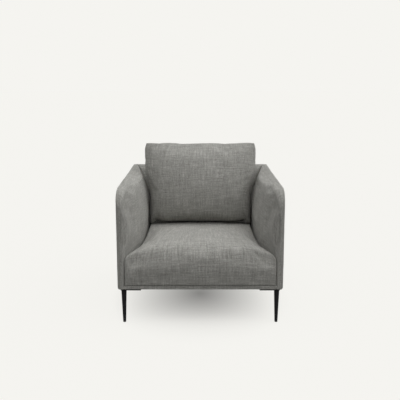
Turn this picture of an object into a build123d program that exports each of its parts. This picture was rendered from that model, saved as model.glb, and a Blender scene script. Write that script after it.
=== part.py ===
from build123d import *
from math import cos, radians, sin
import os

os.makedirs("parts", exist_ok=True)

# Sizes of the whole chair, in millimetres. The front faces -Y and the floor is z = 0.
overall_width = 820
overall_depth = 800
shell_height = 676
floor_clearance = 178
shell_corner_radius = 80
shell_edge_radius = 6
rim_low_width = 34
rim_top_width = 11
cover_thickness = 2
soft_gap = 0.4

# Seat
seat_corner_height = 349
seat_front_height = 407
seat_rear_height = 376
seat_bulge = 12
seat_roll = 70
seat_roll_reach = 1.3
seat_roll_loss = 0.35
seat_roll_shoulder = (0.27, 0.31)
seat_face_tuck = 0.3
seat_crown_power = 3.8
seat_bulge_loss = 0.88
seat_strips = 10
front_border_height = 19

# Inner arm pads: the section in the middle of the arm, and its start at the front post
pad_inner_half_width = 297
pad_waist_height = 431
pad_flank_swell = 5
pad_shoulder_drop = 40
pad_shoulder_half_width = 326
pad_crest_drop = 6.5
pad_crest_half_width = 355
pad_tuck = 9
pad_front_wrap = 3
pad_front_crest = 12
pad_swell_power = 5
pad_station_spread = 1.6
pad_stations = 6
crest_inward = (0.45, -0.9)
shoulder_inward = (0.85, -0.5)

# Inner back pad
back_pad_face = 88
back_pad_shoulder = 60
back_pad_shoulder_drop = 38
back_pad_crest = 34
back_pad_crest_drop = 6
back_pad_waist_height = 531

# Back cushion
cushion_lean = 9
cushion_height = 443
cushion_base_y = 190
cushion_thickness = 178
cushion_top_half_width = 322
cushion_low_half_width = 289
cushion_gusset = 54
cushion_gusset_swell = 5
cushion_corner_share = 0.62
cushion_belly = 0.45
cushion_base_pinch = 0.56
cushion_top_pinch = 0.54
cushion_pinch_power = 2.35
cushion_widen_from = 0.3
cushion_widen_to = 0.75
cushion_shoulder = 0.88
cushion_shoulder_loss = 0.14
cushion_rings = 11

# Zip of the cushion cover
zip_length = 500
zip_groove_width = 32
zip_groove_depth = 9
zip_tape_width = 26
zip_tape_thickness = 0.8
zip_chain_width = 5
zip_chain_depth = 2.4
slider_length = 14
slider_width = 10
slider_wall = 1.6
slider_clearance = 0.3
pull_length = 22
pull_width = 7
pull_thickness = 1.4

# Wooden frame
rail_thickness = 22
base_rail_height = 75
top_rail_height = 45
top_rail_cover = 30
post_width = 60
board_thickness = 3
front_padding = 26
stile_width = 60
corner_block_side = 85
corner_block_height = 60
corner_block_tip = 12
tenon_length = 36
tenon_width = 24
tenon_thickness = 10
tenon_clearance = 0.1
tenon_end_room = 1
tenon_shares = (0.27, 0.73)

# Springs of the seat and webbing of the back
spring_count = 4
spring_bars = 16
spring_half_width = 26
spring_wire = 3.8
spring_bend = 15
spring_wire_sides = 4
clip_thickness = 1.2
clip_width = 22
clip_clearance = 0.3
felt_thickness = 6
webbing_width = 60
webbing_thickness = 2
webbing_count = 4

# Legs
leg_inset = 30
leg_depth_inset = 22
leg_top_diameter = 26.5
leg_tip_diameter = 15.5
leg_wall = 2
plate_side = 101
plate_thickness = 7
plate_corner = 15
plate_tip = 9
glide_height = 9
glide_peg_height = 18
glide_clearance = 0.1
dust_cover_thickness = 1

# Positions that follow from the sizes
side_x = overall_width / 2
rim_y = seat_bulge - overall_depth / 2
back_y = overall_depth / 2
frame_bottom = floor_clearance + cover_thickness + soft_gap
frame_outer_x = side_x - cover_thickness - soft_gap - board_thickness
frame_inner_x = frame_outer_x - rail_thickness
frame_mid_x = frame_outer_x - rail_thickness / 2
liner_x = frame_inner_x - board_thickness
post_front_y = rim_y + cover_thickness + soft_gap
post_rear_y = post_front_y + post_width
frame_back_y = back_y - cover_thickness - soft_gap - board_thickness
back_rail_y = frame_back_y - rail_thickness
rear_post_y = frame_back_y - post_width
front_rail_y = rim_y + front_padding
front_rail_rear = front_rail_y + rail_thickness
rail_top = frame_bottom + base_rail_height
top_rail_top = shell_height - top_rail_cover
top_rail_bottom = top_rail_top - top_rail_height
seam_side_x = side_x - rim_low_width
seam_back_y = back_y - rim_low_width
border_top = floor_clearance + front_border_height
pad_face_y = back_y - back_pad_face
pad_bottom = rail_top + soft_gap
wire_z = rail_top + clip_thickness + clip_clearance + spring_wire / 2
felt_bottom = wire_z + spring_wire / 2 + soft_gap
felt_top = felt_bottom + felt_thickness
seat_underside = felt_top + soft_gap
layer = cover_thickness + soft_gap


def export_piece(block, name):
    block.part.label = name
    export_step(block.part, "parts/" + name + ".step")


def blend(low, high, share):
    return low + (high - low) * share


# The seam where the pads meet the outer covers leans outward above the seat corner.
def seam_lean(z):
    rise = max(0, z - seat_corner_height) / (shell_height - seat_corner_height)
    return (rim_low_width - rim_top_width) * rise


def side_seam_x(z):
    return seam_side_x + seam_lean(z)


def back_seam_y(z):
    return seam_back_y + seam_lean(z)


# Frame: places of the loose tenons, shared by the tenons and by the mortises for them
base_tenon_heights = tuple(frame_bottom + base_rail_height * share for share in tenon_shares)
top_tenon_height = (top_rail_top + top_rail_bottom) / 2
cross_tenons = []
side_tenons = []
for side in (-1, 1):
    for z in base_tenon_heights:
        cross_tenons.append((side * frame_inner_x, front_rail_y + rail_thickness / 2, z))
    for z in base_tenon_heights + (top_tenon_height,):
        cross_tenons.append((side * frame_inner_x, back_rail_y + rail_thickness / 2, z))
        side_tenons.append((side * frame_mid_x, post_rear_y, z))
        side_tenons.append((side * frame_mid_x, rear_post_y, z))


def tenon_boxes(room, end_room, mode):
    length = tenon_length + 2 * end_room
    thickness = tenon_thickness + 2 * room
    width = tenon_width + 2 * room
    with Locations(*cross_tenons):
        Box(length, thickness, width, mode=mode)
    with Locations(*side_tenons):
        Box(thickness, length, width, mode=mode)


def cut_mortises():
    tenon_boxes(tenon_clearance, tenon_end_room, Mode.SUBTRACT)


with BuildPart() as loose_tenons:
    tenon_boxes(0, 0, Mode.ADD)
export_piece(loose_tenons, "loose_tenons")

# Legs: places of the four legs
leg_x = side_x - leg_inset
front_leg_y = rim_y + leg_depth_inset
rear_leg_y = back_y - leg_depth_inset
leg_corners = [(sx, sy) for sx in (-1, 1) for sy in (-1, 1)]


def leg_y(sy):
    return front_leg_y if sy < 0 else rear_leg_y


plate_bottom = floor_clearance - plate_thickness

# Front posts, rounded like the arm they stand in
with BuildPart() as front_post_right:
    with BuildSketch(Plane.YZ.offset(frame_inner_x)) as front_post_face:
        with Locations(((post_front_y + post_rear_y) / 2, (frame_bottom + top_rail_top) / 2)):
            Rectangle(post_width, top_rail_top - frame_bottom)
        fillet(
            front_post_face.vertices().group_by(Axis.Y)[-1].sort_by(Axis.X)[0],
            radius=post_width - 2 * board_thickness,
        )
        fillet(front_post_face.vertices().group_by(Axis.Y)[0].sort_by(Axis.X)[0], radius=shell_edge_radius)
    extrude(amount=rail_thickness)
    cut_mortises()
export_piece(front_post_right, "front_post_right")

with BuildPart() as front_post_left:
    mirror(front_post_right.part, about=Plane.YZ)
export_piece(front_post_left, "front_post_left")

# Rear posts
with BuildPart() as rear_post_right:
    with BuildSketch(Plane.YZ.offset(frame_inner_x)):
        with Locations((frame_back_y - post_width / 2, (frame_bottom + top_rail_top) / 2)):
            Rectangle(post_width, top_rail_top - frame_bottom)
    extrude(amount=rail_thickness)
    cut_mortises()
export_piece(rear_post_right, "rear_post_right")

with BuildPart() as rear_post_left:
    mirror(rear_post_right.part, about=Plane.YZ)
export_piece(rear_post_left, "rear_post_left")

# Side rails of the base and top rails of the arms
with BuildPart() as side_rail_right:
    with BuildSketch(Plane.XZ.offset(-post_rear_y)):
        with Locations((frame_mid_x, frame_bottom + base_rail_height / 2)):
            Rectangle(rail_thickness, base_rail_height)
    extrude(amount=post_rear_y - rear_post_y)
    cut_mortises()
export_piece(side_rail_right, "side_rail_right")

with BuildPart() as side_rail_left:
    mirror(side_rail_right.part, about=Plane.YZ)
export_piece(side_rail_left, "side_rail_left")

with BuildPart() as arm_top_rail_right:
    with BuildSketch(Plane.XZ.offset(-post_rear_y)):
        with Locations((frame_mid_x, top_tenon_height)):
            Rectangle(rail_thickness, top_rail_height)
    extrude(amount=post_rear_y - rear_post_y)
    cut_mortises()
export_piece(arm_top_rail_right, "arm_top_rail_right")

with BuildPart() as arm_top_rail_left:
    mirror(arm_top_rail_right.part, about=Plane.YZ)
export_piece(arm_top_rail_left, "arm_top_rail_left")

# Front and rear rails, back top rail and the stile between them
with BuildPart() as front_rail:
    with BuildSketch(Plane.YZ.offset(-frame_inner_x)):
        with Locations((front_rail_y + rail_thickness / 2, frame_bottom + base_rail_height / 2)):
            Rectangle(rail_thickness, base_rail_height)
    extrude(amount=2 * frame_inner_x)
    cut_mortises()
export_piece(front_rail, "front_rail")

with BuildPart() as rear_rail:
    with BuildSketch(Plane.YZ.offset(-frame_inner_x)):
        with Locations((back_rail_y + rail_thickness / 2, frame_bottom + base_rail_height / 2)):
            Rectangle(rail_thickness, base_rail_height)
    extrude(amount=2 * frame_inner_x)
    cut_mortises()
export_piece(rear_rail, "rear_rail")

with BuildPart() as back_top_rail:
    with BuildSketch(Plane.YZ.offset(-frame_inner_x)):
        with Locations((back_rail_y + rail_thickness / 2, top_tenon_height)):
            Rectangle(rail_thickness, top_rail_height)
    extrude(amount=2 * frame_inner_x)
    cut_mortises()
export_piece(back_top_rail, "back_top_rail")

with BuildPart() as back_stile:
    with BuildSketch(Plane.XY.offset(rail_top)):
        with Locations((0, back_rail_y + rail_thickness / 2)):
            Rectangle(stile_width, rail_thickness)
    extrude(amount=top_rail_bottom - rail_top)
export_piece(back_stile, "back_stile")

# Plinth batten in front of the front rail, wrapped by the front border
batten_height = front_border_height - 2 * layer
with BuildPart() as plinth_batten:
    with BuildSketch(Plane.YZ.offset(soft_gap - seam_side_x)):
        with Locations(((post_front_y + front_rail_y) / 2, frame_bottom + batten_height / 2)):
            Rectangle(front_rail_y - post_front_y, batten_height)
    extrude(amount=2 * (seam_side_x - soft_gap))
export_piece(plinth_batten, "plinth_batten")

# Corner blocks glued into the four corners of the base
with BuildPart() as corner_blocks:
    for sx, sy in leg_corners:
        corner_y = front_rail_rear if sy < 0 else back_rail_y
        with BuildSketch(Plane.XY.offset(frame_bottom)):
            with BuildLine():
                Polyline(
                    (sx * frame_inner_x, corner_y),
                    (sx * (frame_inner_x - corner_block_side), corner_y),
                    (sx * (frame_inner_x - corner_block_side), corner_y - sy * corner_block_tip),
                    (sx * (frame_inner_x - corner_block_tip), corner_y - sy * corner_block_side),
                    (sx * frame_inner_x, corner_y - sy * corner_block_side),
                    close=True,
                )
            make_face()
        extrude(amount=corner_block_height)
export_piece(corner_blocks, "corner_blocks")

# Thin boards: outside of the arms and back, inside of the arms
board_bottom = frame_bottom + shell_edge_radius
with BuildPart() as arm_board_right:
    with BuildSketch(Plane.YZ.offset(frame_outer_x)) as arm_board_face:
        with Locations(((post_front_y + frame_back_y) / 2, (board_bottom + top_rail_top) / 2)):
            Rectangle(frame_back_y - post_front_y - 2 * shell_edge_radius, top_rail_top - board_bottom)
        fillet(
            arm_board_face.vertices().group_by(Axis.Y)[-1].sort_by(Axis.X)[0],
            radius=post_width - 2 * board_thickness,
        )
    extrude(amount=board_thickness)
export_piece(arm_board_right, "arm_board_right")

with BuildPart() as arm_board_left:
    mirror(arm_board_right.part, about=Plane.YZ)
export_piece(arm_board_left, "arm_board_left")

with BuildPart() as back_board:
    with BuildSketch(Plane.XZ.offset(-frame_back_y)):
        with Locations((0, (board_bottom + top_rail_top) / 2)):
            Rectangle(2 * frame_outer_x, top_rail_top - board_bottom)
    extrude(amount=-board_thickness)
export_piece(back_board, "back_board")

liner_front = post_rear_y - post_width / 2
liner_rear = back_rail_y - webbing_thickness - soft_gap
with BuildPart() as arm_liner_right:
    with BuildSketch(Plane.YZ.offset(liner_x)):
        with Locations(((liner_front + liner_rear) / 2, (rail_top + top_rail_top) / 2)):
            Rectangle(liner_rear - liner_front, top_rail_top - rail_top)
    extrude(amount=board_thickness)
export_piece(arm_liner_right, "arm_liner_right")

with BuildPart() as arm_liner_left:
    mirror(arm_liner_right.part, about=Plane.YZ)
export_piece(arm_liner_left, "arm_liner_left")

# Webbing straps across the back frame
strap_pitch = (top_rail_bottom - rail_top) / webbing_count
with BuildPart() as back_webbing:
    for strap in range(webbing_count):
        with BuildSketch(Plane.XZ.offset(-back_rail_y)):
            with Locations((0, rail_top + strap_pitch * (strap + 0.5))):
                Rectangle(2 * frame_inner_x, webbing_width)
        extrude(amount=webbing_thickness)
export_piece(back_webbing, "back_webbing")

# Sinuous springs: bars across the seat joined by bends, hooked into clips on both rails
spring_front = front_rail_y + rail_thickness / 2
spring_rear = back_rail_y + rail_thickness / 2
bar_pitch = (spring_rear - spring_front) / (spring_bars - 1)
spring_pitch = 2 * pad_inner_half_width / spring_count
spring_centres = [spring_pitch * (n - (spring_count - 1) / 2) for n in range(spring_count)]


def spring_corners(centre):
    corners = []
    for bar in range(spring_bars):
        side = spring_half_width if bar % 2 == 0 else -spring_half_width
        bar_end = side - spring_bend if side > 0 else side + spring_bend
        y = spring_front + bar_pitch * bar
        corners.append((centre - bar_end, y, wire_z))
        corners.append((centre + bar_end, y, wire_z))
        if bar < spring_bars - 1:
            corners.append((centre + side, y + spring_bend, wire_z))
            corners.append((centre + side, y + bar_pitch - spring_bend, wire_z))
    return corners


with BuildPart() as seat_springs:
    for centre in spring_centres:
        with BuildLine() as spring_path:
            Polyline(*spring_corners(centre))
        with BuildSketch(Plane(spring_path.line @ 0, z_dir=spring_path.line % 0)):
            RegularPolygon(radius=spring_wire / 2, side_count=spring_wire_sides)
        sweep(path=spring_path.line, transition=Transition.RIGHT)
export_piece(seat_springs, "seat_springs")

# Clips: a strip on the rail, curled over the end bar of the spring
clip_room = spring_wire / 2 + clip_clearance
with BuildPart() as spring_clips:
    for centre in spring_centres:
        for y, facing in ((spring_front, 1), (spring_rear, -1)):
            with BuildSketch(Plane.YZ.offset(centre - clip_width / 2)):
                with BuildLine():
                    Polyline(
                        (y + facing * clip_room, rail_top),
                        (y - facing * (clip_room + clip_thickness), rail_top),
                        (y - facing * (clip_room + clip_thickness), wire_z + clip_room + clip_thickness),
                        (y + facing * clip_room, wire_z + clip_room + clip_thickness),
                        (y + facing * clip_room, wire_z + clip_room),
                        (y - facing * clip_room, wire_z + clip_room),
                        (y - facing * clip_room, rail_top + clip_thickness),
                        (y + facing * clip_room, rail_top + clip_thickness),
                        close=True,
                    )
                make_face()
            extrude(amount=clip_width)
export_piece(spring_clips, "spring_clips")

# Felt laid over the springs
with BuildPart() as spring_felt:
    with BuildSketch(Plane.XY.offset(felt_bottom)):
        with Locations((0, (front_rail_rear + pad_face_y) / 2)):
            Rectangle(2 * (pad_inner_half_width - 2 * pad_tuck), pad_face_y - front_rail_rear - 2 * layer)
    extrude(amount=felt_thickness)
export_piece(spring_felt, "spring_felt")

# Inner arm pad: shares along the arm, from the front post to the back, closer together at the front
pad_alongs = [(station / pad_stations) ** pad_station_spread for station in range(pad_stations + 1)]
pad_shoulder_height = shell_height - pad_shoulder_drop
pad_crest_height = shell_height - pad_crest_drop
pad_flank_height = (pad_shoulder_height + pad_waist_height) / 2
pad_flank_half_width = (pad_inner_half_width + pad_shoulder_half_width) / 2 - 2 * pad_flank_swell
pad_front_x = seam_side_x - pad_front_wrap


# The right arm pad as a closed form, drawn in by the inset on every face that is upholstered.
def arm_form(inset):
    top = shell_height - inset
    rim_x = side_seam_x(top) - soft_gap
    with BuildPart() as form:
        for along in pad_alongs:
            y = blend(rim_y, seam_back_y, along)
            share = 1 - (1 - along) ** pad_swell_power
            crest_x = blend(pad_front_x + pad_front_crest, pad_crest_half_width, share)
            crest = (crest_x + crest_inward[0] * inset, pad_crest_height + crest_inward[1] * inset)
            shoulder_x = blend(pad_front_x + pad_front_wrap, pad_shoulder_half_width, share)
            shoulder = (shoulder_x + shoulder_inward[0] * inset, pad_shoulder_height + shoulder_inward[1] * inset)
            flank_x = blend(pad_front_x, pad_flank_half_width, share) + inset
            waist_x = blend(pad_front_x, pad_inner_half_width, share) + inset
            tuck_x = blend(pad_front_x, pad_inner_half_width + pad_tuck, share) + inset
            with BuildSketch(Plane.XZ.offset(-y)):
                with BuildLine():
                    ThreePointArc((rim_x, top), crest, shoulder)
                    ThreePointArc(shoulder, (flank_x, pad_flank_height), (waist_x, pad_waist_height))
                    Polyline(
                        (waist_x, pad_waist_height),
                        (tuck_x, pad_bottom),
                        (seam_side_x - soft_gap, pad_bottom),
                        (seam_side_x - soft_gap, seat_corner_height),
                        (rim_x, top),
                    )
                make_face()
        loft(ruled=True)
        with BuildSketch(Plane.YZ.offset(pad_inner_half_width / 2)) as outline:
            with BuildLine():
                Polyline(
                    (seam_back_y, pad_bottom),
                    (front_rail_y + inset, pad_bottom),
                    (front_rail_y + inset, seat_corner_height + inset),
                    (rim_y + inset, seat_corner_height + inset),
                    (rim_y + inset, top),
                    (seam_back_y, top),
                    close=True,
                )
            make_face()
            fillet(
                outline.vertices().group_by(Axis.Y)[-1].sort_by(Axis.X)[0],
                radius=shell_corner_radius - inset,
            )
        extrude(amount=side_x, mode=Mode.INTERSECT)
    return form.part


arm_outside = arm_form(0)
arm_lining = arm_form(cover_thickness)
arm_core = arm_form(layer)
arm_room = arm_form(-soft_gap)
arm_room_wide = arm_form(-layer)
arm_room_core = arm_form(-layer - soft_gap)

with BuildPart() as arm_inner_cover_right:
    add(arm_outside)
    add(arm_lining, mode=Mode.SUBTRACT)
export_piece(arm_inner_cover_right, "arm_inner_cover_right")

with BuildPart() as arm_inner_cover_left:
    mirror(arm_inner_cover_right.part, about=Plane.YZ)
export_piece(arm_inner_cover_left, "arm_inner_cover_left")

# The arm foam is cut back to the liner and the top rail that it is glued over.
with BuildPart() as arm_foam_right:
    add(arm_core)
    with BuildSketch(Plane.XZ.offset(-rim_y)):
        with Locations(((liner_x - soft_gap + side_x) / 2, (top_rail_top + soft_gap) / 2)):
            Rectangle(side_x - liner_x + soft_gap, top_rail_top + soft_gap)
    extrude(amount=rim_y - back_y, mode=Mode.SUBTRACT)
export_piece(arm_foam_right, "arm_foam_right")

with BuildPart() as arm_foam_left:
    mirror(arm_foam_right.part, about=Plane.YZ)
export_piece(arm_foam_left, "arm_foam_left")


# Inner back pad: one profile across the chair, fitted between the arm pads
back_pad_half_width = seam_side_x - 2 * soft_gap


def back_form(inset, arm_form_grown):
    top = shell_height - inset
    rim_back = back_seam_y(top) - soft_gap
    crest = (
        back_y - back_pad_crest + crest_inward[0] * inset,
        shell_height - back_pad_crest_drop + crest_inward[1] * inset,
    )
    shoulder = (
        back_y - back_pad_shoulder + shoulder_inward[0] * inset,
        shell_height - back_pad_shoulder_drop + shoulder_inward[1] * inset,
    )
    waist = (pad_face_y + inset, back_pad_waist_height)
    flank = ((shoulder[0] + waist[0]) / 2 - pad_flank_swell, (shoulder[1] + waist[1]) / 2)
    with BuildPart() as form:
        with BuildSketch(Plane.YZ.offset(-back_pad_half_width)):
            with BuildLine():
                ThreePointArc((rim_back, top), crest, shoulder)
                ThreePointArc(shoulder, flank, waist)
                Polyline(
                    waist,
                    (pad_face_y + inset, seat_underside),
                    (seam_back_y - soft_gap, seat_underside),
                    (seam_back_y - soft_gap, seat_corner_height),
                    (rim_back, top),
                )
            make_face()
        extrude(amount=2 * back_pad_half_width)
        add(arm_form_grown, mode=Mode.SUBTRACT)
        mirror(arm_form_grown, about=Plane.YZ, mode=Mode.SUBTRACT)
    return form.part


back_outside = back_form(0, arm_room)
back_lining = back_form(cover_thickness, arm_room_wide)
back_core = back_form(layer, arm_room_core)

with BuildPart() as back_inner_cover:
    add(back_outside)
    add(back_lining, mode=Mode.SUBTRACT)
export_piece(back_inner_cover, "back_inner_cover")

# The back foam is cut back to the webbing and the top rail.
with BuildPart() as back_foam:
    add(back_core)
    with BuildSketch(Plane.YZ.offset(-side_x)):
        with Locations(((back_rail_y - webbing_thickness - soft_gap + back_y) / 2, (top_rail_top + soft_gap) / 2)):
            Rectangle(back_y - back_rail_y + webbing_thickness + soft_gap, top_rail_top + soft_gap)
    extrude(amount=overall_width, mode=Mode.SUBTRACT)
export_piece(back_foam, "back_foam")


# Seat: shares of the half width at which its sections stand, closer together toward the sides
seat_acrosses = [sin(radians(90 * (2 * strip / seat_strips - 1))) for strip in range(seat_strips + 1)]
seat_rear_y = pad_face_y - soft_gap
seat_floor = border_top + soft_gap
seat_crown_y = rim_y + seat_roll_reach * seat_roll
seat_slope = (seat_front_height - seat_rear_height) / (seat_rear_y - seat_crown_y)


def seat_form(inset, arm_form_grown):
    half_width = seam_side_x - soft_gap - inset
    rail_face = front_rail_y - soft_gap
    with BuildPart() as form:
        for across in seat_acrosses:
            drop = abs(across) ** seat_crown_power
            sink = drop * (seat_front_height - seat_corner_height)
            top = seat_front_height - sink - inset
            rear_top = seat_rear_height - sink - inset
            roll = seat_roll * (1 - seat_roll_loss * drop)
            face = rim_y - seat_bulge * (1 - seat_bulge_loss * drop) + inset
            low_face = rim_y + inset
            crown_y = rim_y + seat_roll_reach * roll
            roll_start = (blend(face, low_face, seat_face_tuck), top - roll)
            roll_middle = (blend(face, crown_y, seat_roll_shoulder[0]), top - seat_roll_shoulder[1] * roll)
            with BuildSketch(Plane.YZ.offset(across * half_width)):
                with BuildLine():
                    ThreePointArc((low_face, seat_floor), (face, (seat_floor + top - roll) / 2), roll_start)
                    ThreePointArc(roll_start, roll_middle, (crown_y, top))
                    Polyline(
                        (crown_y, top),
                        (seat_rear_y, rear_top),
                        (seat_rear_y, seat_underside),
                        (rail_face, seat_underside),
                        (rail_face, seat_floor),
                        (low_face, seat_floor),
                    )
                make_face()
        loft(ruled=True)
        add(arm_form_grown, mode=Mode.SUBTRACT)
        mirror(arm_form_grown, about=Plane.YZ, mode=Mode.SUBTRACT)
    return form.part


seat_outside = seat_form(0, arm_room)
seat_lining = seat_form(cover_thickness, arm_room_wide)

with BuildPart() as seat_cover:
    add(seat_outside)
    add(seat_lining, mode=Mode.SUBTRACT)
export_piece(seat_cover, "seat_cover")

with BuildPart() as seat_foam:
    add(seat_form(layer, arm_room_core))
export_piece(seat_foam, "seat_foam")

# Outer arm cover: a shallow tray open toward the pad, its rim cut back along the leaning seam
with BuildPart() as arm_outer_cover_right:
    with BuildSketch(Plane.YZ.offset(seam_side_x)) as arm_side:
        with Locations(((rim_y + back_y) / 2, (floor_clearance + shell_height) / 2)):
            Rectangle(back_y - rim_y, shell_height - floor_clearance)
        fillet(arm_side.vertices().group_by(Axis.Y)[-1].sort_by(Axis.X)[0], radius=shell_corner_radius)
    extrude(amount=rim_low_width)
    fillet(arm_outer_cover_right.faces().sort_by(Axis.X)[-1].edges(), radius=shell_edge_radius)
    offset(amount=-cover_thickness, openings=arm_outer_cover_right.faces().sort_by(Axis.X)[0])
    with BuildSketch(Plane.XZ.offset(-rim_y)):
        with BuildLine():
            Polyline(
                (seam_side_x, seat_corner_height),
                (side_seam_x(shell_height), shell_height),
                (seam_side_x, shell_height),
                close=True,
            )
        make_face()
    extrude(amount=rim_y - seam_back_y, mode=Mode.SUBTRACT)
export_piece(arm_outer_cover_right, "arm_outer_cover_right")

with BuildPart() as arm_outer_cover_left:
    mirror(arm_outer_cover_right.part, about=Plane.YZ)
export_piece(arm_outer_cover_left, "arm_outer_cover_left")

# Outer back cover between the two arm covers
back_seam_plane = Plane(
    origin=(0, seam_back_y, seat_corner_height),
    x_dir=(1, 0, 0),
    z_dir=(0, seat_corner_height - shell_height, rim_low_width - rim_top_width),
)
with BuildPart() as back_outer_cover:
    with BuildSketch(Plane.XZ.offset(-seam_back_y)):
        with Locations((0, (floor_clearance + shell_height) / 2)):
            Rectangle(2 * (seam_side_x - soft_gap), shell_height - floor_clearance)
    extrude(amount=-rim_low_width)
    fillet(
        back_outer_cover.faces().sort_by(Axis.Y)[-1].edges().filter_by(Axis.X),
        radius=shell_edge_radius,
    )
    offset(
        amount=-cover_thickness,
        openings=[
            back_outer_cover.faces().sort_by(Axis.Y)[0],
            back_outer_cover.faces().sort_by(Axis.X)[0],
            back_outer_cover.faces().sort_by(Axis.X)[-1],
        ],
    )
    split(bisect_by=back_seam_plane, keep=Keep.BOTTOM)
export_piece(back_outer_cover, "back_outer_cover")

# Front border: a channel of cover fabric round the plinth batten
with BuildPart() as front_border:
    with BuildSketch(Plane.YZ.offset(soft_gap - seam_side_x)):
        with Locations(((rim_y + front_rail_y) / 2, floor_clearance + front_border_height / 2)):
            Rectangle(front_padding, front_border_height)
        with Locations(((rim_y + front_rail_y + cover_thickness) / 2, floor_clearance + front_border_height / 2)):
            Rectangle(
                front_padding - cover_thickness,
                front_border_height - 2 * cover_thickness,
                mode=Mode.SUBTRACT,
            )
    extrude(amount=2 * (seam_side_x - soft_gap))
export_piece(front_border, "front_border")

# Dust cover stapled under the rails
with BuildPart() as dust_cover:
    with BuildSketch(Plane.XY.offset(frame_bottom - dust_cover_thickness)):
        with Locations((0, (front_rail_y + seam_back_y) / 2)):
            Rectangle(2 * (seam_side_x - soft_gap), seam_back_y - front_rail_y - 2 * soft_gap)
    extrude(amount=dust_cover_thickness)
export_piece(dust_cover, "dust_cover")

# Back cushion: a stack of rings, fullest at the belly and wider above the arms
cushion_alongs = [ring / cushion_rings for ring in range(cushion_rings + 1)]
seat_top_here = seat_front_height - seat_slope * (cushion_base_y - seat_crown_y)
cushion_base = Vector(0, cushion_base_y, seat_top_here + soft_gap)
cushion_up = Vector(0, sin(radians(cushion_lean)), cos(radians(cushion_lean)))
seat_normal = Vector(0, seat_slope, 1).normalized()
cushion_floor = Plane(origin=cushion_base, x_dir=(1, 0, 0), z_dir=seat_normal)


def cushion_fullness(along):
    if along < cushion_belly:
        return 1 - cushion_base_pinch * (1 - along / cushion_belly) ** cushion_pinch_power
    return 1 - cushion_top_pinch * ((along - cushion_belly) / (1 - cushion_belly)) ** cushion_pinch_power


def cushion_widening(along):
    share = (along - cushion_widen_from) / (cushion_widen_to - cushion_widen_from)
    share = min(1, max(0, share))
    corner = max(0, along - cushion_shoulder) / (1 - cushion_shoulder)
    return share * share * (3 - 2 * share) - cushion_shoulder_loss * corner * corner


def cushion_form(inset):
    with BuildPart() as form:
        for along in cushion_alongs:
            fullness = cushion_fullness(along)
            half_width = blend(cushion_low_half_width, cushion_top_half_width, cushion_widening(along)) - inset
            half_depth = fullness * cushion_thickness / 2 - inset
            gusset = min(cushion_gusset, cushion_corner_share * fullness * cushion_thickness) / 2 - inset
            rise = blend(inset, cushion_height - inset, along)
            lift = seat_normal if along == 0 else cushion_up
            with BuildSketch(Plane(origin=cushion_base + cushion_up * rise, x_dir=(1, 0, 0), z_dir=lift)):
                with BuildLine():
                    ThreePointArc((-half_width, -gusset), (0, -half_depth), (half_width, -gusset))
                    ThreePointArc(
                        (half_width, -gusset), (half_width + cushion_gusset_swell, 0), (half_width, gusset)
                    )
                    ThreePointArc((half_width, gusset), (0, half_depth), (-half_width, gusset))
                    ThreePointArc(
                        (-half_width, gusset), (-half_width - cushion_gusset_swell, 0), (-half_width, -gusset)
                    )
                make_face()
        loft(ruled=True)
        with BuildSketch(cushion_floor):
            Rectangle(zip_length + zip_groove_width + 2 * inset, zip_groove_width + 2 * inset)
        extrude(amount=zip_groove_depth + inset, mode=Mode.SUBTRACT)
    return form.part


cushion_outside = cushion_form(0)
cushion_lining = cushion_form(cover_thickness)

with BuildPart() as cushion_cover:
    add(cushion_outside)
    add(cushion_lining, mode=Mode.SUBTRACT)
export_piece(cushion_cover, "cushion_cover")

with BuildPart() as cushion_insert:
    add(cushion_form(layer))
export_piece(cushion_insert, "cushion_insert")

# Zip in the bottom gusset: tape on the roof of its groove, the closed chain below the tape
with BuildPart() as cushion_zip:
    with BuildSketch(cushion_floor.offset(zip_groove_depth)):
        Rectangle(zip_length, zip_tape_width)
    extrude(amount=-zip_tape_thickness)
    with BuildSketch(cushion_floor.offset(zip_groove_depth - zip_tape_thickness)):
        Rectangle(zip_length - zip_tape_width, zip_chain_width)
    extrude(amount=-zip_chain_depth)
export_piece(cushion_zip, "cushion_zip")

# Zip slider, closed at the right end of the chain, with its pull lying under it
slider_x = zip_length / 2 - zip_tape_width
slider_roof = zip_groove_depth - zip_tape_thickness - slider_clearance
slider_floor = zip_groove_depth - zip_tape_thickness - zip_chain_depth - slider_clearance
with BuildPart() as zip_slider:
    with BuildSketch(cushion_floor.offset(slider_floor - slider_wall)):
        with Locations((slider_x, 0)):
            RectangleRounded(slider_length, slider_width, slider_width / 4)
    extrude(amount=slider_roof - slider_floor + slider_wall)
    with BuildSketch(cushion_floor.offset(slider_floor)):
        with Locations((slider_x, 0)):
            Rectangle(2 * slider_length, zip_chain_width + 2 * slider_clearance)
    extrude(amount=slider_roof, mode=Mode.SUBTRACT)
    with BuildSketch(cushion_floor.offset(slider_floor - slider_wall - pull_thickness)):
        with Locations((slider_x - pull_length / 2, 0)):
            SlotOverall(pull_length, pull_width)
    extrude(amount=pull_thickness)
export_piece(zip_slider, "zip_slider")


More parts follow.
